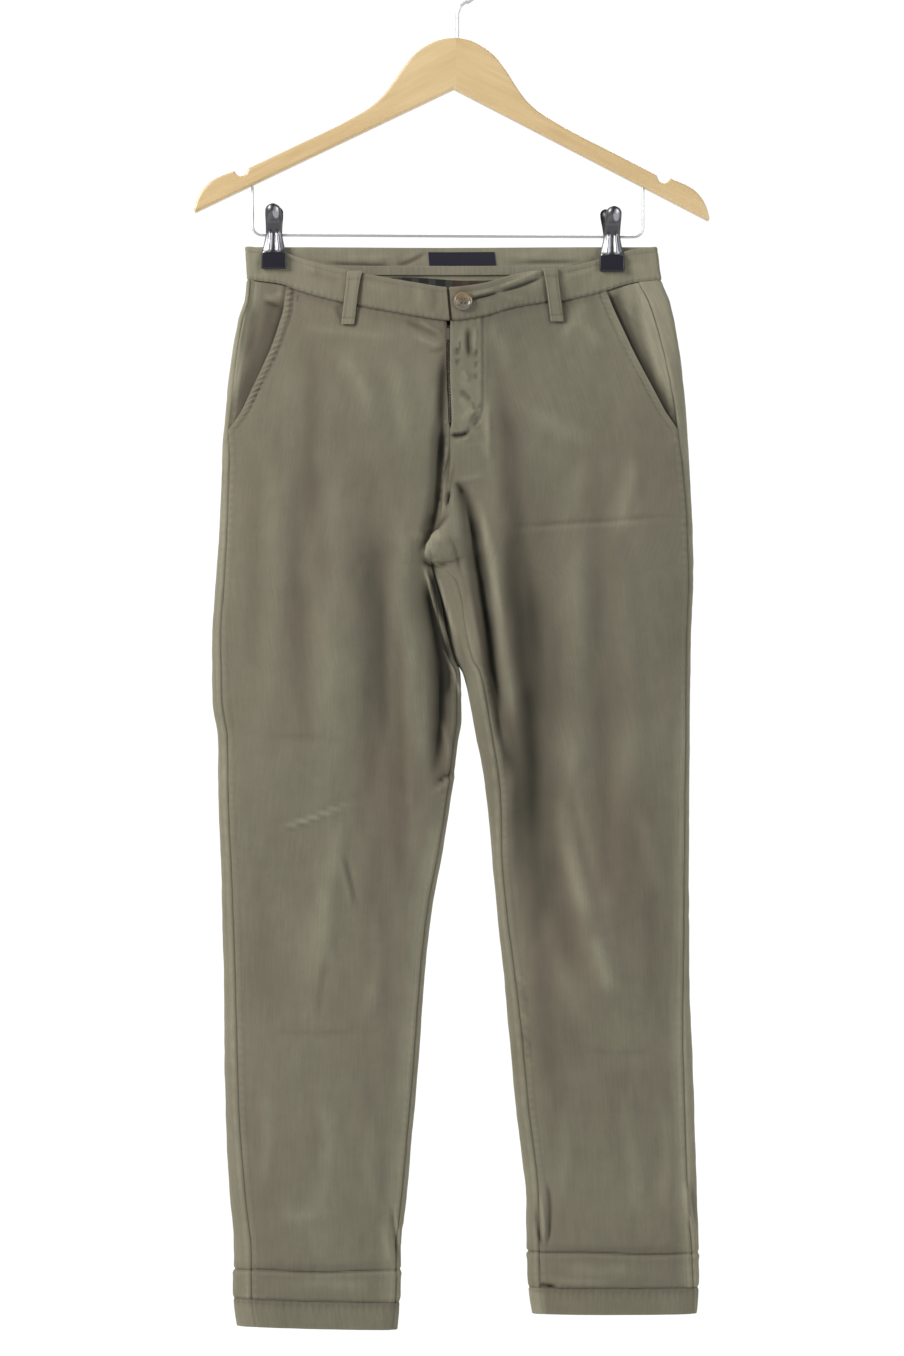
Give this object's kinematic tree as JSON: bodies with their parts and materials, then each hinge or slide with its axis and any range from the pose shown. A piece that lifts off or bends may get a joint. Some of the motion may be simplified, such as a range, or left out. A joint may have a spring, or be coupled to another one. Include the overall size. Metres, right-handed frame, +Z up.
{
  "type": "chino trousers on a wooden clip hanger",
  "caption": "Olive cotton chino trousers hung flat by metal clips from the wire bar of a pale wooden hanger, with an open waist and legs.",
  "frame": {"origin": "inside top of the hanger's hook, where a rail carries it", "axes": "+X to the wearer's left across the front, -Y out of the front of the trousers, +Z up"},
  "size_m": [0.4447, 0.0572, 1.1849],
  "materials": {
    "olive_twill": "washed cotton twill, matt with a soft sheen",
    "binding": "smooth turned twill edge",
    "label_cloth": "woven satin, blank",
    "zip_tape": "woven tape with small metal teeth",
    "zip_metal": "worn nickel",
    "horn": "mottled brown and grey imitation horn, polished",
    "beech": "clear lacquered pale wood",
    "bright_wire": "bright plated wire",
    "dark_steel": "polished, darkly reflecting",
    "black_pads": "smooth black"
  },
  "bodies": {
    "root": {"front_right": "olive_twill", "front_left": "olive_twill", "back_right": "olive_twill", "back_left": "olive_twill", "hem_right": "olive_twill", "hem_left": "olive_twill", "waistband_front_right": "olive_twill", "waistband_front_left": "olive_twill", "waistband_back": "olive_twill", "waistband_underlap": "olive_twill", "pocket_facing_right": "olive_twill", "pocket_facing_left": "olive_twill", "fly_shield": "olive_twill", "belt_loop_front_right": "olive_twill", "belt_loop_front_left": "olive_twill", "belt_loop_back_right": "olive_twill", "belt_loop_back_centre": "olive_twill", "belt_loop_back_left": "olive_twill", "waistband_binding": "binding", "blank_label": "label_cloth", "zip_tape": "zip_tape", "zip_slider": "zip_metal", "button": "horn", "hanger_body": "beech", "hanger_hook": "bright_wire", "clip_bar": "bright_wire", "clip_right_front_plate": "dark_steel", "clip_right_back_plate": "dark_steel", "clip_right_spring_sleeve": "dark_steel", "clip_left_front_plate": "dark_steel", "clip_left_back_plate": "dark_steel", "clip_left_spring_sleeve": "dark_steel", "clip_right_front_pad": "black_pads", "clip_right_back_pad": "black_pads", "clip_left_front_pad": "black_pads", "clip_left_back_pad": "black_pads"}
  },
  "joints": []
}
